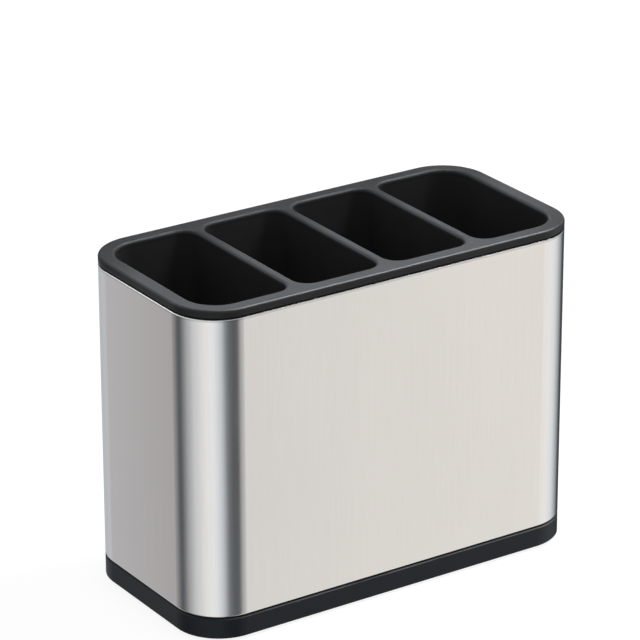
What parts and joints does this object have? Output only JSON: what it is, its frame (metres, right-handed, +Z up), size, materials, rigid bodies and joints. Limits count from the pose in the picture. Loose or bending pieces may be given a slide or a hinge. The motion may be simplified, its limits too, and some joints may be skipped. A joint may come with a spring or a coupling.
{
  "type": "cutlery dispenser",
  "caption": "Upright oblong cutlery holder with a brushed steel sleeve, a lift-out black moulded liner with side-by-side pockets, and a moulded base on rubber feet.",
  "frame": {"origin": "on the surface that the feet stand on, under the middle of the holder", "axes": "+X along the holder's length, +Y from its front to its back, +Z up"},
  "size_m": [0.204, 0.1, 0.1569],
  "materials": {
    "sleeve_steel": "fine vertical brushing",
    "liner_plastic": "satin black moulding",
    "base_plastic": "satin black moulding",
    "foot_rubber": "matte black"
  },
  "bodies": {
    "shell": {"steel_sleeve": "sleeve_steel", "base": "base_plastic", "foot_front_left": "foot_rubber", "foot_front_right": "foot_rubber", "foot_rear_left": "foot_rubber", "foot_rear_right": "foot_rubber"},
    "liner": {"liner": "liner_plastic"}
  },
  "joints": [
    {"name": "liner_lift", "type": "slide", "parent": "shell", "child": "liner", "axis": [0, 0, 1], "range_m": [0, 0.135]}
  ]
}
